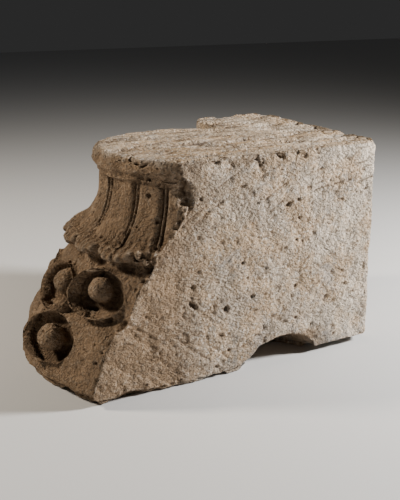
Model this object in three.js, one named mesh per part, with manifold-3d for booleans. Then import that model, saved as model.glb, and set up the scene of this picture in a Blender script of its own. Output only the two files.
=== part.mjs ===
// A Romanesque capital cut from one block of limestone, lying as it was found: its broad bed
// down, its round shaft bed up. A ring of leaves turns out over rosettes with balls, on a bell
// that grows out of a plain tail. The flank towards -Y was cut away later, flat.
// Millimetres, +Z up. The origin is on the shaft's axis, in the plane of the broad bed.
import * as THREE from "three";
import { mergeVertices } from "three/addons/utils/BufferGeometryUtils.js";
import Module from "manifold-3d";

// Driving dimensions.
const height = 286; // from bed to bed
const flankDistance = 110; // from the shaft's axis to the cut flank

const rollRadius = 15.5; // the roll's half height
const ringRadius = 144; // outside of the roll
const filletHeight = 5; // small step under the roll
const filletStep = 5; // how far it stands out from the bell

const neckRadius = 132; // the bell just under the roll
const lipRadius = 181; // the leaves' lips, at their middle
const lipHeight = 170; // top of the lips above the broad bed
const lipThickness = 5;
const lipHollow = 8; // how far the shadowed hollow runs in under the lips
const leafSweep = 24; // the leaves turn out into the lips over this height
const leafCount = 20; // in a full circle
const leafTurn = 4.5; // degrees from -X to the first leaf's middle
const notchDepth = 13; // how far the lips draw back between two leaves
const notchRise = 10; // how much higher the lips' edge is there
const grooveDepth = 4; // the double groove down each leaf
const grooveFade = 0.6; // share of that depth it has lost at the lips
const ribRise = 2; // the thin rib between the two grooves
const unevenLeaf = 0; // the first leaf's grooves lie off its middle, away from the cut flank,
const unevenShare = 0.45; // by this share of half a leaf

const faceTopRadius = 178; // the bell's face at the lips' foot
const waistRadius = 216; // the same face at the upper rosettes' feet
const waistHeight = 96;
const footRadius = 252; // the same face at the broad bed
const upperSwell = 4; // how far the face swells out between these three, above the waist
const lowerSwell = 3; // and below it
const footWear = 16; // its broken lower edge is this high
const footLoss = 16; // and this deep
const recessDepth = 11; // the ground behind the upper rosettes
const flatness = 10; // how far the bell's four broad sides draw in from a circle
const flatTurn = 14; // degrees from -X to the middle of the first broad side

const rosetteHeight = 60; // a rosette's rim, from top to bottom
const rosetteDepth = 20; // from the rim to the bottom of its dish
const rosetteLean = 28; // degrees that its dish looks up
const rosetteFacing = 15; // degrees that the first of a row is turned towards the cut flank
const rosetteTurn = 25; // degrees from one rosette to the next
const rimThickness = 3.5;
const upperHeights = [125, 116, 108, 110, 112]; // the upper rosettes' middles, from the cut flank round
const upperInsets = [0, 0, 6, 4, 4]; // how far each is set back into the bell's face
const upperTurn = 19; // degrees from -X to the first of them
const upperWidth = 76; // their rims, from side to side
const upperBallRadius = 16.5;
const upperBallSink = 14; // the ball's middle below the rim
const upperBallRise = 9; // and above the dish's middle
const lowerHeights = [59]; // the lower rosette's middle
const lowerInsets = [0];
const lowerTurn = 1.5;
const lowerWidth = 92;
const lowerBallRadius = 19;
const lowerBallSink = 6;
const lowerBallRise = 0;

const farFaceDistance = 201; // from the axis to the tail's far face
const shoulderDistance = 92; // from the axis to the tail's shoulder
const tailLength = 213; // from the axis to the tail's end, at the cut flank
const tailSkew = 5.5; // degrees that the tail's end is out of square
const cornerRadius = 9; // worn upright corner of the tail at the cut flank
const farCornerRadius = 28; // and at its far face
const shoulderCorner = 60; // the tail's far shoulder is worn round

const chipWidth = 104; // a flake broken from the broad bed's edge, on the cut flank
const chipRise = 32; // about how far it reaches up the flank
const chipDepth = 75; // and in under the block
const chipPlace = 66; // its middle, from the axis towards the tail
const wearRise = 8; // the shallow wear between that flake and the tail's end
const wearDepth = 38;

const leafColumns = [0, 0.08, 0.4, 0.75, 1]; // columns from a leaf's middle to its notch
const turnSteps = 64; // columns of the plain turned bodies
const overlap = 1; // solids that are joined run this far into each other

const wasm = await Module();
wasm.setup();

// A closed geometry as a solid.
function solid(geometry) {
  const bare = geometry.index ? geometry.toNonIndexed() : geometry.clone();
  bare.deleteAttribute("normal");
  bare.deleteAttribute("uv");
  const merged = mergeVertices(bare, 1e-3);
  return new wasm.Manifold(
    new wasm.Mesh({
      numProp: 3,
      vertProperties: merged.attributes.position.array,
      triVerts: new Uint32Array(merged.index.array),
    }),
  );
}

// A solid as a geometry again.
function geometryOf(made) {
  const mesh = made.getMesh();
  const geometry = new THREE.BufferGeometry();
  geometry.setAttribute("position", new THREE.BufferAttribute(mesh.vertProperties, 3));
  geometry.setIndex(new THREE.BufferAttribute(mesh.triVerts, 1));
  const flat = geometry.toNonIndexed();
  flat.computeVertexNormals();
  return flat;
}

// A turned body about +Z from radius and height pairs that rise from bottom to top.
function turned(pairs, segments) {
  const profile = pairs.map(([radius, z]) => new THREE.Vector2(radius, z));
  return new THREE.LatheGeometry(profile, segments).rotateX(Math.PI / 2);
}

// Angles are in degrees from -X and grow towards the cut flank.
const angleOf = (x, y) => THREE.MathUtils.radToDeg(Math.atan2(-y, -x));
const radians = THREE.MathUtils.degToRad;

// Calls change(radius, degrees, z) for each point off the axis; it gives the three new values.
function reshape(geometry, change) {
  const position = geometry.attributes.position;
  for (let i = 0; i < position.count; i += 1) {
    const x = position.getX(i);
    const y = position.getY(i);
    const radius = Math.hypot(x, y);
    if (radius < overlap) continue;
    const [r, degrees, z] = change(radius, angleOf(x, y), position.getZ(i));
    position.setXYZ(i, -r * Math.cos(radians(degrees)), -r * Math.sin(radians(degrees)), z);
  }
  return geometry;
}

const lipFoot = lipHeight - lipThickness;

// The bell's face below the lips, as a circle's radius at a height.
const faceCurve = new THREE.CatmullRomCurve3([
  new THREE.Vector3(footRadius, 0, 0),
  new THREE.Vector3((footRadius + waistRadius) / 2 + lowerSwell, 0, waistHeight / 2),
  new THREE.Vector3(waistRadius, 0, waistHeight),
  new THREE.Vector3((waistRadius + faceTopRadius) / 2 + upperSwell, 0, (waistHeight + lipFoot) / 2),
  new THREE.Vector3(faceTopRadius, 0, lipFoot),
]).getPoints(60);

function faceRadius(z) {
  const above = faceCurve.findIndex((point) => point.z >= z);
  if (above < 1) return above < 0 ? faceTopRadius : footRadius;
  const low = faceCurve[above - 1];
  const high = faceCurve[above];
  return THREE.MathUtils.mapLinear(z, low.z, high.z, low.x, high.x);
}

// How far the broad sides draw the face in, in a direction.
const drawnIn = (degrees) => (flatness * (1 + Math.cos(radians(4 * (degrees - flatTurn))))) / 2;

// The leaf crown with its double grooves, lips and notches.
function crown() {
  const neckTop = height - 2 * rollRadius - filletHeight;
  const leaf = new THREE.QuadraticBezierCurve(
    new THREE.Vector2(lipRadius, lipHeight),
    new THREE.Vector2(neckRadius, lipHeight + leafSweep),
    new THREE.Vector2(neckRadius, neckTop),
  ).getPoints(9);
  const pairs = [
    [0, lipFoot - recessDepth],
    [faceTopRadius - recessDepth - 2 * lipHollow, lipFoot - recessDepth],
    [faceTopRadius - recessDepth - lipHollow, lipFoot - lipThickness / 2],
    [lipRadius - lipThickness / 2, lipFoot],
    [lipRadius + 1, lipFoot + lipThickness * 0.4],
    ...leaf.map((point) => [point.x, point.y]),
    [neckRadius + filletStep, neckTop + filletHeight / 2],
    [neckRadius + filletStep, neckTop + filletHeight + overlap],
    [0, neckTop + filletHeight + overlap],
  ];
  const half = leafColumns.length - 1;
  const pitch = 360 / leafCount;
  const geometry = turned(pairs, leafCount * 2 * half);
  return solid(
    reshape(geometry, (radius, degrees, z) => {
      const column = Math.round((degrees * 2 * half) / pitch);
      const leafIndex = Math.floor((column + half) / (2 * half));
      const inLeaf = column - leafIndex * 2 * half;
      const even = Math.sign(inLeaf) * leafColumns[Math.abs(inLeaf)];
      const share = leafIndex === unevenLeaf ? even - unevenShare * (1 - Math.abs(even)) : even;
      const turn = (leafIndex + share / 2) * pitch + leafTurn;
      const onLeaf = z > lipFoot - overlap && z < neckTop + overlap;
      if (!onLeaf) return [radius, turn, z];
      const down = THREE.MathUtils.clamp((neckTop - z) / (neckTop - lipHeight), 0, 1);
      const edge = Math.abs(share) ** 3 * down ** 4;
      const inGroove = Math.abs(inLeaf) < 2;
      const cut = inGroove ? (inLeaf === 0 ? grooveDepth - ribRise : grooveDepth) : 0;
      return [radius - notchDepth * edge - cut * (1 - grooveFade * down), turn, z + notchRise * edge];
    }),
  );
}

// The roll under the shaft, with its flat bed.
function roll() {
  const middle = [ringRadius - rollRadius, height - rollRadius];
  const arc = new THREE.EllipseCurve(...middle, rollRadius, rollRadius, -Math.PI / 2, Math.PI / 2);
  const outside = arc.getPoints(8).map((point) => [point.x, point.y]);
  return solid(turned([[0, height - 2 * rollRadius], ...outside, [0, height]], turnSteps));
}

// The bell below the leaves: recessed behind the upper rosettes, its broad sides drawn in.
function bellBody() {
  const recessFoot = upperHeights[0] - rosetteHeight / 2;
  const recessed = [recessFoot, (recessFoot + lipFoot) / 2, lipFoot];
  const plain = [footWear, waistHeight / 3, (waistHeight * 2) / 3, recessFoot - rosetteHeight / 8];
  const pairs = [
    [0, 0],
    [footRadius - footLoss, 0],
    [footRadius - footLoss / 3, footWear / 2],
    ...plain.map((z) => [faceRadius(z), z]),
    ...recessed.map((z) => [faceRadius(z) - recessDepth, z]),
    [neckRadius, lipHeight],
    [0, lipHeight],
  ];
  const geometry = turned(pairs, turnSteps);
  return solid(
    reshape(geometry, (radius, degrees, z) => {
      const share = THREE.MathUtils.clamp((lipFoot - z) / (lipFoot - recessFoot), 0, 1);
      return [radius - drawnIn(degrees) * share, degrees, z];
    }),
  );
}

// Carries a rosette made about +Z out to the bell's face, at an angle and a height.
function placement(degrees, z, turnedBy, inset) {
  const facing = radians(degrees + turnedBy);
  const outward = new THREE.Vector3(-Math.cos(facing), -Math.sin(facing), 0);
  const normal = outward.multiplyScalar(Math.cos(radians(rosetteLean)));
  normal.z = Math.sin(radians(rosetteLean));
  const side = new THREE.Vector3(Math.sin(facing), -Math.cos(facing), 0);
  const up = new THREE.Vector3().crossVectors(normal, side);
  const radius = faceRadius(z) - drawnIn(degrees) - inset;
  const x = -radius * Math.cos(radians(degrees));
  const y = -radius * Math.sin(radians(degrees));
  return new THREE.Matrix4().makeBasis(side, up, normal).setPosition(x, y, z);
}

// A dish with a thin proud rim, and the hollow that is cut for it.
function dish(width, grow, top) {
  const rim = rosetteHeight / 2;
  const pairs = [
    [0, -rosetteDepth - grow],
    [rim * 0.55, -rosetteDepth - grow],
    [rim * 0.85, -rosetteDepth * 0.6 - grow],
    [rim + grow, 0],
    [rim + grow, top],
    [0, top],
  ];
  return turned(pairs, 16).scale(width / rosetteHeight, 1, 1);
}

// A rosette: its cup stands proud of the ground, its dish is hollow, its ball sits inside.
function addRosette(bell, place, width, ball) {
  const cup = dish(width, rimThickness, 0).applyMatrix4(place);
  const hollow = dish(width, 0, rosetteDepth).applyMatrix4(place);
  const root = ball.radius * 0.8;
  const arc = new THREE.EllipseCurve(0, -ball.sink, ball.radius, ball.radius, -Math.PI / 7, Math.PI / 2);
  const outside = arc.getPoints(5).map((point) => [point.x, point.y]);
  outside.at(-1)[0] = 0;
  const pairs = [[0, -rosetteDepth - root], [root, -rosetteDepth - root], ...outside];
  const round = turned(pairs, 14).translate(0, ball.rise, 0).applyMatrix4(place);
  return bell.add(solid(cup)).subtract(solid(hollow)).add(solid(round));
}

function bell() {
  const upperBall = { radius: upperBallRadius, sink: upperBallSink, rise: upperBallRise };
  const lowerBall = { radius: lowerBallRadius, sink: lowerBallSink, rise: lowerBallRise };
  let made = crown().add(bellBody()).add(roll());
  // The dishes of a row turn back to face straight out, away from the cut flank.
  const placeInRow = (first, step, z, inset) =>
    placement(first - step * rosetteTurn, z, rosetteFacing * Math.max(0, 1 - step / 2), inset);
  upperHeights.forEach((z, step) => {
    const place = placeInRow(upperTurn, step, z, upperInsets[step]);
    made = addRosette(made, place, upperWidth, upperBall);
  });
  lowerHeights.forEach((z, step) => {
    const place = placeInRow(lowerTurn, step, z, lowerInsets[step]);
    made = addRosette(made, place, lowerWidth, lowerBall);
  });
  return made;
}

// The tail, drawn in plan. A worn corner is a quarter curve from one side to the next.
function tail() {
  const skew = Math.tan(radians(tailSkew));
  const near = -flankDistance;
  const far = farFaceDistance;
  const endFar = tailLength + (far - near) * skew;
  const plan = new THREE.Shape();
  plan.moveTo(0, near);
  plan.lineTo(tailLength - cornerRadius, near);
  plan.quadraticCurveTo(tailLength, near, tailLength + cornerRadius * skew, near + cornerRadius);
  plan.lineTo(endFar - farCornerRadius * skew, far - farCornerRadius);
  plan.quadraticCurveTo(endFar, far, endFar - farCornerRadius, far);
  plan.lineTo(shoulderDistance + shoulderCorner, far);
  plan.quadraticCurveTo(shoulderDistance, far, shoulderDistance, far - shoulderCorner);
  plan.lineTo(shoulderDistance, 0);
  plan.lineTo(0, 0);
  return solid(new THREE.ExtrudeGeometry(plan, { depth: height, bevelEnabled: false, curveSegments: 5 }));
}

// What broke and wore away along the broad bed's edge, on the cut flank.
function losses() {
  // Long and tilted, so that the scar slopes from the flank down to the bed.
  const chip = new THREE.SphereGeometry(1, 14, 10).scale(chipWidth / 2, 2 * chipDepth, chipRise);
  chip.rotateX(-Math.atan(chipRise / chipDepth)).translate(chipPlace, -flankDistance, 0);
  const wearLength = tailLength - chipPlace;
  const wear = new THREE.SphereGeometry(1, 14, 8).scale(wearLength / 2, wearDepth, wearRise);
  wear.translate(chipPlace + chipWidth / 4 + wearLength / 2, -flankDistance, 0);
  return solid(chip).add(solid(wear));
}

// The part of the block that the bell was carved from: between the flanks, up to the tail.
function bellBlock() {
  const front = -2 * footRadius;
  const back = shoulderDistance + shoulderCorner;
  const box = new THREE.BoxGeometry(back - front, farFaceDistance + flankDistance, 2 * height);
  return solid(box.translate((back + front) / 2, (farFaceDistance - flankDistance) / 2, height / 2));
}

const carved = bell().intersect(bellBlock());
const stone = new THREE.MeshStandardMaterial({ color: 0xb5a58c, roughness: 0.95, metalness: 0 });
const capital = new THREE.Mesh(geometryOf(carved.add(tail()).subtract(losses())), stone);
capital.name = "capital";

const group = new THREE.Group();
group.add(capital);

export default group;
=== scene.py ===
import math

import bmesh
import bpy
import numpy as np
from mathutils import Matrix, Vector


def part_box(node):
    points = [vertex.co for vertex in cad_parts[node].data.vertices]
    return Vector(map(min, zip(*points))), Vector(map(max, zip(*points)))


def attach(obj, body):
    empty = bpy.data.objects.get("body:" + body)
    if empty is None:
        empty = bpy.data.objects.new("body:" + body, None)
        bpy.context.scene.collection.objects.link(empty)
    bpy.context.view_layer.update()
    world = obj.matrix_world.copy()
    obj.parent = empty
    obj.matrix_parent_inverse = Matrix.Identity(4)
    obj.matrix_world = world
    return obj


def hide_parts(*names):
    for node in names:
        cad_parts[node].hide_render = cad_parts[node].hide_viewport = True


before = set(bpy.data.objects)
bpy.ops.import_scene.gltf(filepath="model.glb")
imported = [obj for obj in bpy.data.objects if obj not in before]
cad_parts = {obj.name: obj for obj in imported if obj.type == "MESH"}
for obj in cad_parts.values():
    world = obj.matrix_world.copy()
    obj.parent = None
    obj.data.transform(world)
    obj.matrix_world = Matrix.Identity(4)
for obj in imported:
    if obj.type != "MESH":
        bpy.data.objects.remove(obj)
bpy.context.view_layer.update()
print("frame loaded")

# Sizes are in metres, in the frame of the CAD part: +Z up, -Y is the cut flank, +X the tail.
# Angles are in degrees from -X and grow towards the cut flank.

capital = {
    "flank": -0.110,  # Y of the cut flank
    "bed": 0.286,  # Z of the shaft bed, at the top
    "tailEnd": 0.213,  # X of the tail's end at the cut flank
    "tailSkew": 5.5,  # degrees that the end is out of square
    "farFace": 0.201,  # Y of the tail's far face
    "shoulder": 0.092,  # X of the tail's shoulder
    "voxel": 0.0016,
    "smoothing": 4,  # rounds after the remesh
    "seenTriangles": 128000,
    "hiddenTriangles": 62000,
    "seenFrom": (-0.61, -1.00, 0.47),
    "roughness": 0.0009,
    "drifts": [(0.034, 0.0042, 101), (0.013, 0.0012, 111)],  # size, amount and seed
    "edgeWear": 0.007,
    "edgeGrain": 0.022,  # size of the uneven wear along an edge
    "edgeBites": 0.040,  # and of the places where more is lost
    "pits": 900,
    "pitSizes": (0.0014, 0.0026),  # the smallest, and how much larger the rarest are
    "pitSeed": 12,
}

# Each rosette: angle, height and distance of its middle, the angle that it faces, and its width.
rosettes = [
    {"turn": 19.0, "height": 0.125, "out": 0.1941, "facing": 34.0, "width": 0.076, "ball": "upper"},
    {"turn": -6.0, "height": 0.116, "out": 0.2019, "facing": 1.5, "width": 0.076, "ball": "upper"},
    {"turn": -31.0, "height": 0.108, "out": 0.2051, "facing": -31.0, "width": 0.076, "ball": "upper"},
    {"turn": -56.0, "height": 0.110, "out": 0.2004, "facing": -56.0, "width": 0.076, "ball": "upper"},
    {"turn": -81.0, "height": 0.112, "out": 0.1957, "facing": -81.0, "width": 0.076, "ball": "upper"},
    {"turn": 1.5, "height": 0.059, "out": 0.2244, "facing": 16.5, "width": 0.092, "ball": "lower"},
]

rosette = {
    "lean": 28.0,  # degrees that a dish looks up
    "height": 0.060,
    "depth": 0.020,
    "segments": 72,
    "margin": 0.0003,  # the finer dish is cut this much wider than the solid's
    "rim": 0.0032,  # radius of the rim's bead
    "rimOut": 0.0015,  # the bead's middle lies this far outside the dish's edge
    "rimDrop": 0.4,  # and this share of its radius below it
    "balls": {
        "upper": {"radius": 0.0192, "sink": 0.014, "rise": 0.008},
        "lower": {"radius": 0.0205, "sink": 0.006, "rise": 0.0},
    },
    # From the dish's middle to its edge: share of the radius, share of the depth.
    "curve": [(0, 1.0), (0.5, 0.98), (0.72, 0.8), (0.87, 0.52), (0.96, 0.2), (1, 0)],
    # Drilled holes: direction round the dish, share of the radius.
    "holes": [(92, 0.90), (148, 0.93), (188, 0.89), (220, 0.88), (245, 0.85)],
    "holeRadius": 0.0040,
    "holeDepth": 0.0050,
}

# Single pits, scratches and breaks that the photo shows.
marks = [
    {"at": (-0.041, -0.110, 0.279), "size": 0.0065, "deep": 0.007},
    {"at": (0.0689, -0.110, 0.2123), "size": 0.0045, "deep": 0.0035},
    {"at": (-0.077, -0.110, 0.1055), "to": (-0.070, -0.110, 0.0995), "size": 0.0040, "deep": 0.0060},
    {"at": (-0.025, -0.110, 0.0889), "size": 0.0050, "deep": 0.006},
    {"at": (-0.001, -0.110, 0.1453), "size": 0.0035, "deep": 0.003},
    {"at": (0.1661, -0.110, 0.0904), "size": 0.0040, "deep": 0.003},
    {"at": (-0.1270, -0.0601, 0.2796), "size": 0.0060, "deep": 0.0060},
    {"at": (-0.1429, -0.0050, 0.2663), "to": (-0.1326, -0.0129, 0.2851), "size": 0.0028, "deep": 0.0040},
    {"at": (-0.1362, -0.0336, 0.2800), "to": (-0.1226, -0.0336, 0.2860), "size": 0.0028, "deep": 0.0045},
    {"at": (-0.1287, -0.0481, 0.2827), "to": (-0.1150, -0.0330, 0.2860), "size": 0.0025, "deep": 0.0040},
    {"at": (-0.1252, -0.0692, 0.2749), "to": (-0.1178, -0.0730, 0.2819), "size": 0.0030, "deep": 0.0040},
    {"at": (-0.0850, -0.1050, 0.2500), "to": (-0.0815, -0.1050, 0.2290), "size": 0.0100, "deep": 0.0120},
    {"at": (-0.1400, -0.1090, 0.1700), "size": 0.0150, "deep": 0.0090},
    {"at": (-0.1982, -0.0051, 0.0944), "size": 0.0110, "deep": 0.0080},
    {"at": (-0.1859, -0.0447, 0.1042), "to": (-0.1781, -0.0536, 0.1016), "size": 0.0032, "deep": 0.0100},
    {"at": (-0.1618, 0.0075, 0.1822), "to": (-0.1707, 0.0158, 0.1750), "size": 0.0026, "deep": 0.0040},
    {"at": (-0.1775, 0.0124, 0.1454), "size": 0.0035, "deep": 0.0050},
    {"at": (-0.2039, -0.0041, 0.0779), "size": 0.0030, "deep": 0.0050},
    {"at": (-0.2092, -0.0356, 0.0825), "size": 0.0030, "deep": 0.0050},
]

leaves = {
    "count": 20,  # in a full circle
    "first": 4.5,  # angle of the first leaf's middle
    "top": 0.250,
    "lip": 0.170,  # top of the lips
    "lipFoot": 0.165,
    "lipSwell": 0.0030,  # the lips are this much thicker than the solid's
    "grooveDepth": 0.0034,
    "grooveWidth": 0.0013,
    "grooveSpread": 0.0022,  # from the leaf's middle to each of its two grooves
    "grooveFade": 0.028,  # they fade over this height above the lips
    "ribRise": 0.0008,
    "fluteDepth": 0.0020,
    "fluteWidth": 0.0052,
    "wander": 0.6,  # degrees that a groove wanders
    "unevenTurn": -4.05,  # the first leaf's grooves lie off its middle
}


def onCircle(degrees, radius, z):
    angle = math.radians(degrees)
    return Vector((-radius * math.cos(angle), -radius * math.sin(angle), z))


# Where a rosette's dish lies. Its own +Z looks out of it.
def placement(spec):
    facing = math.radians(spec["facing"])
    lean = math.radians(rosette["lean"])
    level = math.cos(lean)
    normal = Vector((-math.cos(facing) * level, -math.sin(facing) * level, math.sin(lean)))
    side = Vector((math.sin(facing), -math.cos(facing), 0))
    up = normal.cross(side)
    place = Matrix((side, up, normal)).transposed().to_4x4()
    place.translation = onCircle(spec["turn"], spec["out"], spec["height"])
    return place


def newObject(name, data):
    made = bpy.data.objects.new(name, data)
    bpy.context.scene.collection.objects.link(made)
    return made


# A closed turned body about +Z from pairs of radius and height, drawn out sideways.
def turnedMesh(pairs, place, wide):
    work = bmesh.new()
    points = [work.verts.new((radius * wide, 0, z)) for radius, z in pairs]
    edges = [work.edges.new((low, high)) for low, high in zip(points, points[1:])]
    bmesh.ops.scale(work, verts=points, vec=(1 / wide, 1, 1))
    bmesh.ops.spin(
        work,
        geom=points + edges,
        cent=(0, 0, 0),
        axis=(0, 0, 1),
        angle=2 * math.pi,
        steps=rosette["segments"],
        use_merge=True,
    )
    bmesh.ops.remove_doubles(work, verts=work.verts, dist=1e-6)
    bmesh.ops.scale(work, verts=work.verts, vec=(wide, 1, 1))
    bmesh.ops.recalc_face_normals(work, faces=work.faces)
    bmesh.ops.transform(work, matrix=place, verts=work.verts)
    mesh = bpy.data.meshes.new("turned")
    work.to_mesh(mesh)
    work.free()
    return mesh


def joinMeshes(name, meshes):
    work = bmesh.new()
    for mesh in meshes:
        work.from_mesh(mesh)
        bpy.data.meshes.remove(mesh)
    joined = bpy.data.meshes.new(name)
    work.to_mesh(joined)
    work.free()
    return joined


def dishMesh(place, wide):
    rim = rosette["height"] / 2 + rosette["margin"]
    deep = rosette["depth"]
    pairs = [(rim * share, -deep * down) for share, down in rosette["curve"]]
    return turnedMesh(pairs + [(rim, deep), (0, deep)], place, wide)


def rimMesh(place, wide):
    middle = rosette["height"] / 2 + rosette["rimOut"]
    small = rosette["rim"]
    low = small * rosette["rimDrop"]
    steps = [math.radians(angle) for angle in range(0, 361, 45)]
    pairs = [(middle + small * math.cos(angle), small * math.sin(angle) - low) for angle in steps]
    return turnedMesh(pairs, place, wide)


def ballMesh(place, ball):
    work = bmesh.new()
    bmesh.ops.create_uvsphere(work, u_segments=40, v_segments=24, radius=ball["radius"])
    bmesh.ops.translate(work, verts=work.verts, vec=(0, ball["rise"], -ball["sink"]))
    bmesh.ops.transform(work, matrix=place, verts=work.verts)
    mesh = bpy.data.meshes.new("ball")
    work.to_mesh(mesh)
    work.free()
    return mesh


# Where a drilled hole starts in its dish.
def holePlace(spec, degrees, share):
    angle = math.radians(degrees)
    rim = rosette["height"] / 2
    shares, downs = zip(*rosette["curve"])
    z = -rosette["depth"] * float(np.interp(share, shares, downs))
    across = share * spec["width"] / 2 * math.cos(angle)
    return placement(spec) @ Vector((across, share * rim * math.sin(angle), z))


def applyModifiers(piece):
    graph = bpy.context.evaluated_depsgraph_get()
    mesh = bpy.data.meshes.new_from_object(piece.evaluated_get(graph))
    old = piece.data
    piece.modifiers.clear()
    piece.data = mesh
    bpy.data.meshes.remove(old)


def cutAway(piece, cutterMesh):
    cutter = newObject("cutter", cutterMesh)
    modifier = piece.modifiers.new("cut", "BOOLEAN")
    modifier.operation = "DIFFERENCE"
    modifier.solver = "MANIFOLD"
    modifier.object = cutter
    applyModifiers(piece)
    bpy.data.objects.remove(cutter)
    bpy.data.meshes.remove(cutterMesh)


# The stone starts as a copy of the CAD solid.
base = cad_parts["capital"].data.copy()
work = bmesh.new()
work.from_mesh(base)
bmesh.ops.remove_doubles(work, verts=work.verts, dist=1e-5)
work.to_mesh(base)
work.free()
stone = newObject("capital_stone", base)

# Rounder dishes, rims and balls than the solid's. The remesh makes them one skin with the stone.
for spec in rosettes:
    cutAway(stone, dishMesh(placement(spec), spec["width"] / rosette["height"]))
added = [stone.data.copy()]
for spec in rosettes:
    added.append(rimMesh(placement(spec), spec["width"] / rosette["height"]))
    added.append(ballMesh(placement(spec), rosette["balls"][spec["ball"]]))
old = stone.data
stone.data = joinMeshes("capital_stone", added)
bpy.data.meshes.remove(old)
remesh = stone.modifiers.new("even", "REMESH")
remesh.mode = "VOXEL"
remesh.voxel_size = capital["voxel"]
remesh.adaptivity = 0.0
applyModifiers(stone)
print("remeshed", len(stone.data.vertices))


# Arrays of the mesh's points, normals and edges.
def pointsOf(mesh):
    points = np.empty(len(mesh.vertices) * 3, dtype=np.float32)
    mesh.vertices.foreach_get("co", points)
    return points.reshape(-1, 3).astype(np.float64)


def normalsOf(mesh):
    normals = np.empty(len(mesh.vertices) * 3, dtype=np.float32)
    mesh.vertices.foreach_get("normal", normals)
    return normals.reshape(-1, 3).astype(np.float64)


def edgesOf(mesh):
    ends = np.empty(len(mesh.edges) * 2, dtype=np.int32)
    mesh.edges.foreach_get("vertices", ends)
    return ends.reshape(-1, 2).astype(np.int64)


def setPoints(mesh, points):
    mesh.vertices.foreach_set("co", points.astype(np.float32).ravel())
    mesh.update()


def smoothed(values, edges, rounds, share=0.5):
    count = len(values)
    near = np.bincount(edges.ravel(), minlength=count)[:, None]
    for _ in range(rounds):
        total = np.empty_like(values)
        for axis in range(values.shape[1]):
            total[:, axis] = np.bincount(edges[:, 0], values[edges[:, 1], axis], count)
            total[:, axis] += np.bincount(edges[:, 1], values[edges[:, 0], axis], count)
        values = values + share * (total / near - values)
    return values


# Smooth random values from 0 to 1, on a lattice of that size.
def noise(points, size, seed):
    table = np.random.default_rng(seed).random(8192)
    scaled = points / size
    cell = np.floor(scaled).astype(np.int64)
    part = scaled - cell
    part = part * part * (3 - 2 * part)
    total = np.zeros(len(points))
    for corner in range(8):
        step = np.array([corner & 1, corner >> 1 & 1, corner >> 2 & 1])
        x, y, z = (cell + step).T
        value = table[(x * 73856093 ^ y * 19349663 ^ z * 83492791) & 8191]
        weight = np.prod(np.where(step, part, 1 - part), axis=1)
        total += value * weight
    return total


# The same with finer and weaker layers on top.
def cloud(points, size, seed, octaves=3):
    total = np.zeros(len(points))
    weight = 1.0
    whole = 0.0
    for octave in range(octaves):
        total += weight * noise(points, size / 2**octave, seed + octave)
        whole += weight
        weight *= 0.55
    return total / whole


# From 0 at the low value to 1 at the high one.
def ramp(values, low, high):
    share = np.clip((values - low) / (high - low), 0, 1)
    return share * share * (3 - 2 * share)


mesh = stone.data
edges = edgesOf(mesh)
points = pointsOf(mesh)
points = smoothed(points, edges, capital["smoothing"])
setPoints(mesh, points)

# Hand carved: no circle or line of the carving is quite true.
loose = ramp(-points[:, 0], -0.08, 0.0)[:, None] * ramp(0.284 - points[:, 2], 0, 0.02)[:, None]
for size, amount, seed in capital["drifts"]:
    drift = np.stack([cloud(points, size, seed + axis * 3, 2) - 0.5 for axis in range(3)], axis=1)
    points = points + amount * loose * drift
points[:, 1] = np.maximum(points[:, 1], capital["flank"])
setPoints(mesh, points)
normals = normalsOf(mesh)
radius = np.hypot(points[:, 0], points[:, 1])
angle = np.degrees(np.arctan2(-points[:, 1], -points[:, 0]))
height = points[:, 2]
print("smoothed")


# Pushes what lies beyond a plane back to it. An uneven offset breaks the edge unevenly.
def planed(points, normal, offset, where=1.0):
    normal = np.array(normal, dtype=float) / np.linalg.norm(normal)
    beyond = np.maximum(points @ normal - offset, 0) * where
    return points - beyond[:, None] * normal


def roughEdge(points, first, second, corner, wear, seed, where=1.0):
    normal = np.array(first, dtype=float) + np.array(second, dtype=float)
    normal /= np.linalg.norm(normal)
    uneven = 0.15 + 1.7 * cloud(points, capital["edgeGrain"], seed, 4) ** 2
    bitten = ramp(cloud(points, capital["edgeBites"], seed + 9, 2), 0.52, 0.85) * wear
    return planed(points, normal, float(np.dot(normal, corner)) - wear * uneven * 0.7 - bitten, where)


# The directions in which the block's sides look.
skew = math.radians(capital["tailSkew"])
tail = (math.cos(skew), -math.sin(skew), 0)
near = (0, -1, 0)
far = (0, 1, 0)
above = (0, 0, 1)
below = (0, 0, -1)
front = (-1, 0, 0)
flank = capital["flank"]
bed = capital["bed"]
tailEnd = capital["tailEnd"]
farFace = capital["farFace"]
farTail = tailEnd + (farFace - flank) * math.tan(skew)
wear = capital["edgeWear"]
onShoulder = ramp(points[:, 1], 0.138, 0.144) * ramp(points[:, 0], 0.04, 0.06)
# The two sides that meet, a corner on their edge, how much is worn off, the seed and where.
edgeList = [
    (near, above, (0, flank, bed), wear * 0.7, 21, 1.0),
    (near, tail, (tailEnd, flank, 0), wear * 0.9, 22, 1.0),
    (above, tail, (tailEnd, flank, bed), wear * 0.8, 23, 1.0),
    (near, below, (0, flank, 0), wear * 1.1, 24, 1.0),
    (below, tail, (tailEnd, flank, 0), wear * 1.4, 25, 1.0),
    (far, above, (0, farFace, bed), wear * 0.8, 26, 1.0),
    (far, below, (0, farFace, 0), wear * 1.3, 27, 1.0),
    (far, tail, (farTail, farFace, 0), wear, 28, 1.0),
    (front, above, (capital["shoulder"], 0, bed), wear * 1.8, 29, onShoulder),
]
for first, second, corner, amount, seed, where in edgeList:
    points = roughEdge(points, first, second, corner, amount, seed, where)
flakeEnd = ramp(-points[:, 0], -0.036, -0.026) * ramp(-points[:, 2], -0.05, -0.04)
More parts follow.
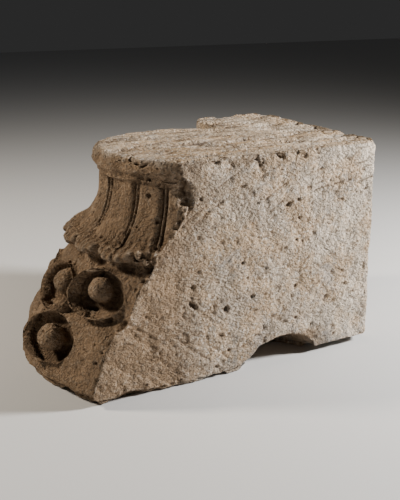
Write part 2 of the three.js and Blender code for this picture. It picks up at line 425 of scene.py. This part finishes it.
# Direction of the break, the corner, how much is lost and where.
cornerList = [
    ((1, -1, 1), (tailEnd, flank, bed), 0.009, 1.0),
    ((1, -1, -1), (tailEnd, flank, 0), 0.010, 1.0),
    ((1, 1, 1), (farTail, farFace, bed), 0.012, 1.0),
    ((-0.5, -0.7, -0.6), (-0.225, flank, 0), 0.004, 1.0),
    ((0.8, -1, -1), (0.014, flank, 0), 0.011, flakeEnd),
]
for normal, corner, amount, where in cornerList:
    normal = np.array(normal, dtype=float) / np.linalg.norm(normal)
    uneven = amount * (0.6 + 0.8 * cloud(points, 0.02, 33, 3))
    points = planed(points, normal, float(normal @ np.array(corner)) - uneven, where)
print("edges worn")

# Zones: the dressed block, the carved part and what is broken.
across = points[:, 0]
onFlank = ramp(-normals[:, 1], 0.75, 0.95) * ramp(flank + 0.006 - points[:, 1], 0, 0.004)
onTop = ramp(normals[:, 2], 0.8, 0.95) * ramp(height, bed - 0.006, bed - 0.002)
carved = (1 - onFlank) * (1 - onTop) * ramp(-across, -0.09, -0.08)
onRoll = carved * ramp(height, 0.246, 0.256)
onNeck = carved * ramp(height, leaves["lipFoot"] - 0.001, leaves["lip"]) * (1 - onRoll)
onBell = carved * ramp(-height, 0.0005 - leaves["lipFoot"], 0.004 - leaves["lipFoot"])

# General roughness: pecked grain, open texture and broad unevenness.
rough = capital["roughness"]
depth = rough * noise(points, 0.0038, 3)
depth += rough * 0.9 * cloud(points, 0.0085, 4, 2)
depth += rough * 1.5 * ramp(cloud(points, 0.0110, 13, 3), 0.58, 0.80)
depth += rough * 2.4 * cloud(points, 0.055, 5, 2)
depth += rough * 1.5 * cloud(points, 0.024, 8, 3)
depth *= 1 - 0.6 * onNeck

# The leaves' lips are thick and smoother than the rest.
onLips = carved * ramp(height, 0.158, 0.164) * ramp(-height, -0.184, -0.175)
onLips = onLips * ramp(radius, 0.160, 0.170)
depth *= 1 - 0.5 * onLips
depth -= leaves["lipSwell"] * onLips

# How deep each kind of wear, tooling and breakage goes.
worn = {
    "rollScars": 0.0042,
    "rollGrain": 0.0012,
    "bedPits": 0.0048,
    "bedRidges": 0.0020,
    "underEdge": 0.0045,
    "plainStrokes": 0.0010,
    "bellFoot": 0.0055,
    "flake": 0.0050,
    "besideCut": 0.0045,
    "underLips": 0.0060,
    "brokenLeaf": 0.0070,
}

# The roll is worn and scarred, more so towards the bed.
scars = ramp(cloud(points, 0.020, 81, 3), 0.42, 0.80)
depth += onRoll * worn["rollScars"] * scars * ramp(height, 0.258, 0.274)
depth += onRoll * worn["rollGrain"] * cloud(points, 0.009, 85, 2)

# The double groove down each leaf, with a thin rib between.
pitch = 360 / leaves["count"]
offLeaf = (angle - leaves["first"] + pitch / 2) % pitch - pitch / 2
leafNumber = np.round((angle - leaves["first"]) / pitch)
offLeaf = np.where(leafNumber == 0, offLeaf - leaves["unevenTurn"], offLeaf)
wander = leaves["wander"] * (noise(points, 0.045, 91) - 0.5)
sideways = np.radians(offLeaf + wander) * radius
onLeaf = onNeck * ramp(-height, -leaves["top"], 0.004 - leaves["top"])
width = leaves["grooveWidth"]
spread = leaves["grooveSpread"]
fade = 0.2 + 0.8 * ramp(height, leaves["lip"], leaves["lip"] + leaves["grooveFade"])
for side in (-1, 1):
    groove = np.exp(-(((sideways - side * spread) / width) ** 2))
    depth += onLeaf * leaves["grooveDepth"] * fade * groove
depth -= onLeaf * leaves["ribRise"] * np.exp(-((sideways / width) ** 2))

# Shallow flutes fan out towards the lips.
lower = onLeaf * ramp(-height, -0.202, -0.180)
turned = np.radians(offLeaf) * radius / leaves["fluteWidth"] * math.pi
depth += lower * leaves["fluteDepth"] * (0.5 - 0.5 * np.cos(turned))
print("leaves grooved")


# Diagonal strokes of the mason's point, broken and uneven.
def strokes(points, degrees, spacing, seed):
    tilt = math.radians(degrees)
    down = points[:, 2] * math.cos(tilt) - points[:, 0] * math.sin(tilt)
    along = points[:, 0] * math.cos(tilt) + points[:, 2] * math.sin(tilt)
    bent = down + 0.009 * (cloud(points, 0.06, seed, 2) - 0.5)
    lines = (bent / spacing) % 1
    row = np.floor(bent / spacing)
    broken = np.stack([along / 8, row * 0.013, np.zeros(len(points))], axis=1)
    kept = ramp(noise(broken, 0.005, seed + 3), 0.40, 0.70) * (0.4 + noise(points, 0.008, seed + 5))
    return kept * np.exp(-(((lines - 0.5) / 0.25) ** 2))


# Where the cut flank is tooled.
upperLeft = ramp(height, 0.18, 0.22) * ramp(-across, -0.11, -0.06)
lowerLeft = ramp(-height, -0.15, -0.10) * ramp(-across, -0.02, 0.03)
streaked = ramp(height, 0.215, 0.232) * ramp(across, 0.08, 0.12) * ramp(-height, -0.262, -0.252)
underEdge = ramp(height, 0.258, 0.274) * ramp(across, -0.06, 0.0) * ramp(-across, -0.13, -0.08)
# Depth, tilt in degrees, spacing, seed and place of each field of strokes.
tooling = [
    (0.0024, 31, 0.0090, 31, upperLeft),
    (0.0010, -40, 0.0085, 41, lowerLeft),
    (0.0028, 11, 0.0085, 47, streaked),
]
for deep, tilt, spacing, seed, where in tooling:
    depth += onFlank * deep * strokes(points, tilt, spacing, seed) * where
depth += onFlank * worn["underEdge"] * ramp(cloud(points, 0.009, 49, 3), 0.52, 0.72) * underEdge
plainSides = (1 - onFlank) * (1 - onTop) * (1 - carved)
depth += plainSides * worn["plainStrokes"] * strokes(points, 20, 0.0080, 51)

# Long pits and ridges run along the shaft bed.
long = points * np.array([0.16, 0.6, 1.0])
depth += onTop * worn["bedPits"] * ramp(cloud(long, 0.0060, 61, 2), 0.50, 0.72)
depth += onTop * worn["bedRidges"] * cloud(long, 0.022, 65, 2)

# Rough breaks: at the bell's foot, in the flake, and where the carving meets the cut flank.
inFlake = ramp(0.042 - height, 0, 0.006) * ramp(across, 0.005, 0.02)
inFlake = inFlake * ramp(-across, -0.135, -0.12) * (1 - onFlank)
lowBell = onBell * ramp(0.060 - height, 0, 0.03)
depth += worn["bellFoot"] * lowBell * cloud(points, 0.018, 71, 3) ** 1.3
depth += worn["flake"] * inFlake * cloud(points, 0.014, 75, 3)
nearCut = ramp(flank + 0.022 - points[:, 1], 0, 0.02)
bites = ramp(cloud(points, 0.016, 77, 3), 0.45, 0.75)
depth += worn["besideCut"] * (onBell + onNeck + onRoll) * nearCut * bites
underLips = onBell * ramp(height, 0.147, 0.155)
depth += worn["underLips"] * underLips * ramp(noise(points, 0.020, 79), 0.25, 0.7)

# The leaf beside the cut flank is left as a raised ragged edge.
brokenLeaf = onNeck * ramp(angle, 42, 54) * ramp(height, 0.180, 0.2)
depth -= worn["brokenLeaf"] * brokenLeaf * ramp(cloud(points, 0.013, 87, 3), 0.40, 0.70)
print("wear and tooling made")

order = np.argsort(points[:, 0])
sortedX = points[order, 0]


# Dents the stone round a point.
def dent(centre, size, deep):
    low, high = np.searchsorted(sortedX, (centre[0] - size, centre[0] + size))
    chosen = order[low:high]
    away = np.linalg.norm(points[chosen] - centre, axis=1) / size
    depth[chosen] += deep * np.clip(1 - away**2, 0, 1)


# Open pores and cavities of the stone.
picker = np.random.default_rng(capital["pitSeed"])
centres = points[picker.integers(0, len(points), capital["pits"])]
smallest, larger = capital["pitSizes"]
sizes = smallest + larger * picker.random(capital["pits"]) ** 4
for centre, size in zip(centres, sizes):
    dent(centre, size, size * 0.85)

# A long mark is a row of dents that run into each other.
for mark in marks:
    start = np.array(mark["at"])
    stop = np.array(mark.get("to", mark["at"]))
    steps = max(1, int(np.linalg.norm(stop - start) / (mark["size"] * 0.5)))
    for step in range(steps):
        place = start + (stop - start) * (step / max(1, steps - 1))
        dent(place, mark["size"], mark["deep"] * (1.0 if steps == 1 else 0.55))

# Drilled holes, each sunk where the worn dish is nearest to its place.
holeFloors = []
for spec in rosettes:
    opening = np.array(placement(spec).to_3x3() @ Vector((0, 0, 1)))
    turnedAway = normals @ opening < 0.1
    before = depth.copy()
    for hole in rosette["holes"]:
        away = np.linalg.norm(points - np.array(holePlace(spec, *hole)), axis=1)
        holeFloors.append(int(np.argmin(away + turnedAway)))
        dent(points[holeFloors[-1]], rosette["holeRadius"], rosette["holeDepth"])
    depth[turnedAway] = before[turnedAway]
print("pits made")

# The broad bed stays nearly flat, so that the stone stands level, and nothing leaves the solid's box.
onBed = ramp(0.0012 - height, 0, 0.001)
depth *= 1 - 0.9 * onBed
points = points - normals * depth[:, None]
low, high = (np.array(corner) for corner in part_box("capital"))
points = np.clip(points, low, high)
holeFloors = points[holeFloors]
setPoints(mesh, points)
print("relief made")

# Fewer triangles where the photo doesn't look. Each round thins one side and leaves the other.
for wanted, side in ((capital["hiddenTriangles"], -1), (capital["seenTriangles"], 1)):
    points = pointsOf(stone.data)
    facing = ((np.array(capital["seenFrom"]) - points) * normalsOf(stone.data)).sum(axis=1) * side
    facing = facing > 0
    stone.vertex_groups.clear()
    group = stone.vertex_groups.new(name="thinned")
    group.add([int(i) for i in np.flatnonzero(facing)], 1.0, "REPLACE")
    stone.data.calc_loop_triangles()
    total = len(stone.data.loop_triangles)
    there = total * facing.mean()
    thin = stone.modifiers.new("thin", "DECIMATE")
    thin.ratio = min(1.0, (total - there + wanted) / total)
    thin.vertex_group = "thinned"
    thin.vertex_group_factor = 1.0
    applyModifiers(stone)
    print("thinned from", total, "to", len(stone.data.polygons))
stone.vertex_groups.clear()
for face in stone.data.polygons:
    face.use_smooth = True

# How hollow the stone is at each point, for the dirt in pits and the painted shade in broader hollows: 0
# on ridges, 1 in pits.
mesh = stone.data
edges = edgesOf(mesh)
points = pointsOf(mesh)
normals = normalsOf(mesh)
evened = smoothed(points, edges, 5)
sunk = ((evened - points) * normals).sum(axis=1)
deeper = ((smoothed(evened, edges, 30) - evened) * normals).sum(axis=1)
inHollow = np.clip(0.5 + sunk / 0.0016 + np.maximum(deeper - 0.0003, 0) / 0.0120, 0, 1)
# The floors of the drilled holes are made fully hollow, for painted shade in them.
for bottom in holeFloors:
    away = np.linalg.norm(points - bottom, axis=1)
    inHollow = np.maximum(inHollow, ramp(rosette["holeRadius"] - away, 0, 0.001))
hollows = mesh.attributes.new("hollow", "FLOAT", "POINT")
hollows.data.foreach_set("value", inHollow.astype(np.float32))
print("triangles", len(stone.data.polygons))


# The stone's colours, from the plain block to what lies over it.
limestoneLook = {
    "block": (0.55, 0.445, 0.345),
    # painted light: the block is paler towards the tail, where the key lamp falls strongest
    "paintedLitBlock": (0.83, 0.71, 0.575),
    "tan": (0.64, 0.455, 0.29),
    "shaftBed": (0.70, 0.54, 0.38),
    "ochre": (0.60, 0.37, 0.165),
    # brown patina of the carving, made darker still as painted shade
    "carving": (0.34, 0.23, 0.14),
    # painted shade in the long furrows of the shaft bed
    "paintedFurrowShade": (0.11, 0.07, 0.04),
    "specks": (0.19, 0.135, 0.09),
    "chalk": (0.78, 0.70, 0.61),
    "stains": (0.29, 0.295, 0.29),
    "clouds": (0.42, 0.415, 0.41),
    # brown of the broken stone round the flake, darkened as painted shade under it
    "flake": (0.33, 0.215, 0.12),
    # painted shade under the shaft bed's edge
    "paintedEdgeShade": (0.21, 0.145, 0.09),
    "rust": (0.50, 0.25, 0.09),
    # dirt in pits, and painted shade in the broader hollows and drilled holes
    "dirtAndShade": (0.14, 0.09, 0.052),
    # paler rubbed ridges, with a painted highlight on them
    "ridgesAndHighlight": (0.66, 0.56, 0.45),
    "roughness": 0.92,
    "specular": 0.25,
    "grainDepth": 0.0140,
}


# Limestone: buff, paler towards the tail as painted light, warmer and darker in the carving as patina
# and painted shade, with painted shade in furrows, hollows and under edges, grey stains and rust specks.
def limestone():
    material = bpy.data.materials.new("limestone")
    material.use_nodes = True
    nodes = material.node_tree.nodes
    links = material.node_tree.links
    shader = nodes["Principled BSDF"]
    shader.inputs["Roughness"].default_value = limestoneLook["roughness"]
    shader.inputs["Specular IOR Level"].default_value = limestoneLook["specular"]
    place = nodes.new("ShaderNodeTexCoord").outputs["Object"]

    def texture(scale, detail, roughness, vector=place):
        made = nodes.new("ShaderNodeTexNoise")
        made.inputs["Scale"].default_value = scale
        made.inputs["Detail"].default_value = detail
        made.inputs["Roughness"].default_value = roughness
        links.new(vector, made.inputs["Vector"])
        return made.outputs["Fac"]

    # The place turned about Y and drawn out along the turned X.
    def drawnOut(degrees, share):
        made = nodes.new("ShaderNodeMapping")
        made.inputs["Rotation"].default_value = (0, math.radians(degrees), 0)
        made.inputs["Scale"].default_value = (share, 1, 1)
        links.new(place, made.inputs["Vector"])
        return made.outputs["Vector"]

    def between(value, low, high, bottom=0.0, top=1.0):
        made = nodes.new("ShaderNodeMapRange")
        made.interpolation_type = "SMOOTHSTEP"
        made.inputs["From Min"].default_value = low
        made.inputs["From Max"].default_value = high
        made.inputs["To Min"].default_value = bottom
        made.inputs["To Max"].default_value = top
        links.new(value, made.inputs["Value"])
        return made.outputs["Result"]

    # Lays one of the look's colours over another, or over what is there.
    def mix(share, under, over):
        made = nodes.new("ShaderNodeMix")
        made.data_type = "RGBA"
        links.new(share, made.inputs["Factor"])
        if isinstance(under, str):
            made.inputs["A"].default_value = (*limestoneLook[under], 1.0)
        else:
            links.new(under, made.inputs["A"])
        made.inputs["B"].default_value = (*limestoneLook[over], 1.0)
        return made.outputs["Result"]

    def product(first, second):
        made = nodes.new("ShaderNodeMath")
        made.operation = "MULTIPLY"
        links.new(first, made.inputs[0])
        links.new(second, made.inputs[1])
        return made.outputs["Value"]

    split = nodes.new("ShaderNodeSeparateXYZ")
    links.new(place, split.inputs["Vector"])
    x, y, z = (split.outputs[axis] for axis in "XYZ")
    hollow = nodes.new("ShaderNodeAttribute")
    hollow.attribute_name = "hollow"

    # The block, paler towards the tail as painted light where the key lamp falls, and more ochre on the
    # shaft bed.
    colour = mix(between(x, 0.02, 0.22), "block", "paintedLitBlock")
    colour = mix(between(texture(24, 4, 0.6), 0.40, 0.60, 0.0, 0.85), colour, "tan")
    onShaftBed = between(z, 0.279, 0.284)
    colour = mix(onShaftBed, colour, "shaftBed")
    patches = between(texture(22, 4, 0.6, drawnOut(0, 0.2)), 0.44, 0.58, 0.0, 0.85)
    colour = mix(product(onShaftBed, patches), colour, "ochre")

    # The carving, off the cut flank and the shaft bed: a brown patina, made darker as painted shade.
    inCarving = product(between(x, -0.02, -0.12), between(y, -0.1105, -0.1065))
    inCarving = product(inCarving, between(z, 0.285, 0.270))
    colour = mix(inCarving, colour, "carving")
    # Dark streaks on the shaft bed: painted shade in its long furrows.
    furrowShade = between(texture(75, 4, 0.65, drawnOut(0, 0.18)), 0.48, 0.60, 0.0, 1.0)
    colour = mix(product(onShaftBed, furrowShade), colour, "paintedFurrowShade")

    # Dark and chalky grains.
    grain = texture(300, 3, 0.65, drawnOut(35, 0.6))
    colour = mix(between(grain, 0.50, 0.64, 0.0, 0.75), colour, "specks")
    chalk = between(texture(240, 3, 0.65), 0.46, 0.36, 0.0, 0.75)
    colour = mix(product(chalk, between(inCarving, 1.0, 0.0, 0.15, 1.0)), colour, "chalk")

    # Grey stains low down and in clouds, outside the carving.
    outside = between(inCarving, 1.0, 0.0)
    stains = between(texture(20, 5, 0.7), 0.48, 0.58, 0.0, 0.85)
    colour = mix(product(product(between(z, 0.07, 0.0), outside), stains), colour, "stains")
    clouds = between(texture(13, 5, 0.75), 0.54, 0.68, 0.0, 0.5)
    colour = mix(product(outside, clouds), colour, "clouds")

    # Brown round the flake, partly broken stone and partly painted shade under it; painted shade under
    # the shaft bed's edge; and rust specks.
    nearFlake = product(between(x, 0.01, 0.06), between(x, 0.16, 0.10))
    nearFlake = product(nearFlake, between(z, 0.044, 0.030))
    nearFlake = product(nearFlake, between(y, -0.02, -0.05))
    flakeBrownAndShade = between(texture(45, 4, 0.7), 0.36, 0.52, 0.0, 0.8)
    colour = mix(product(nearFlake, flakeBrownAndShade), colour, "flake")
    # Painted shade under the shaft bed's edge.
    underEdge = product(between(z, 0.256, 0.278), between(x, 0.14, 0.06))
    underEdge = product(underEdge, between(y, -0.096, -0.104))
    paintedEdgeShade = between(texture(70, 5, 0.75), 0.46, 0.58, 0.0, 0.8)
    colour = mix(product(underEdge, paintedEdgeShade), colour, "paintedEdgeShade")
    colour = mix(between(texture(48, 3, 0.6), 0.71, 0.76, 0.0, 0.6), colour, "rust")

    # Dirt in the pits, with painted shade in the broader hollows and the drilled holes; pale rubbed
    # ridges with a painted highlight.
    colour = mix(between(hollow.outputs["Fac"], 0.56, 0.98, 0.0, 0.70), colour, "dirtAndShade")
    colour = mix(between(hollow.outputs["Fac"], 0.42, 0.05, 0.0, 0.22), colour, "ridgesAndHighlight")
    links.new(colour, shader.inputs["Base Color"])

    # Fine grain, patchy in strength.
    bump = nodes.new("ShaderNodeBump")
    bump.inputs["Strength"].default_value = 1.0
    bump.inputs["Distance"].default_value = limestoneLook["grainDepth"]
    patchy = between(texture(34, 3, 0.6), 0.36, 0.60, 0.55, 1.25)
    grains = texture(330, 3, 0.65, drawnOut(-35, 0.7))
    links.new(product(grains, patchy), bump.inputs["Height"])
    links.new(bump.outputs["Normal"], shader.inputs["Normal"])
    return material


stone.data.materials.clear()
stone.data.materials.append(limestone())
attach(stone, "root")
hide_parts("capital")
print("stone finished")

studio = {
    "floorSize": 6,  # half of its side
    "floorDrop": 0.0005,  # the floor lies this far under the stone
    "floorGrey": 0.62,
    "lens": 65.0,
    "camera": (-0.6097, -1.0014, 0.4742),
    "tilt": 73.92,  # degrees from straight down
    "turn": -31.38,
    "worldGrey": 0.8,
    "worldStrength": 0.035,
    # Place, target, size, power and colour of each lamp.
    "lamps": {
        "key": ((1.20, -0.62, 0.74), (0.03, -0.05, 0.14), 0.26, 58, (1.0, 0.975, 0.94)),
        "side": ((-1.12, 0.78, 1.08), (-0.15, 0, 0.15), 0.3, 27, (1.0, 0.89, 0.74)),
    },
}

floorMesh = bpy.data.meshes.new("floor")
work = bmesh.new()
bmesh.ops.create_grid(work, x_segments=1, y_segments=1, size=studio["floorSize"])
bmesh.ops.translate(work, verts=work.verts, vec=(0, 0, -studio["floorDrop"]))
work.to_mesh(floorMesh)
work.free()
floor = newObject("floor", floorMesh)
plain = bpy.data.materials.new("plain floor")
plain.use_nodes = True
surface = plain.node_tree.nodes["Principled BSDF"]
surface.inputs["Base Color"].default_value = (*[studio["floorGrey"]] * 3, 1)
surface.inputs["Roughness"].default_value = 0.9
floorMesh.materials.append(plain)

camera = newObject("camera", bpy.data.cameras.new("camera"))
camera.data.lens = studio["lens"]
camera.data.sensor_width = 36.0
camera.location = studio["camera"]
camera.rotation_euler = (math.radians(studio["tilt"]), 0, math.radians(studio["turn"]))
bpy.context.scene.camera = camera


def areaLight(name, place, target, size, power, colour):
    data = bpy.data.lights.new(name, "AREA")
    data.shape = "DISK"
    data.size = size
    data.energy = power
    data.color = colour
    light = newObject(name, data)
    light.location = place
    light.rotation_euler = (Vector(target) - Vector(place)).to_track_quat("-Z", "Y").to_euler()


for name, lamp in studio["lamps"].items():
    areaLight(name, *lamp)

world = bpy.data.worlds.new("studio")
world.use_nodes = True
sky = world.node_tree.nodes["Background"]
sky.inputs["Color"].default_value = (*[studio["worldGrey"]] * 3, 1)
sky.inputs["Strength"].default_value = studio["worldStrength"]
bpy.context.scene.world = world
print("studio lit")
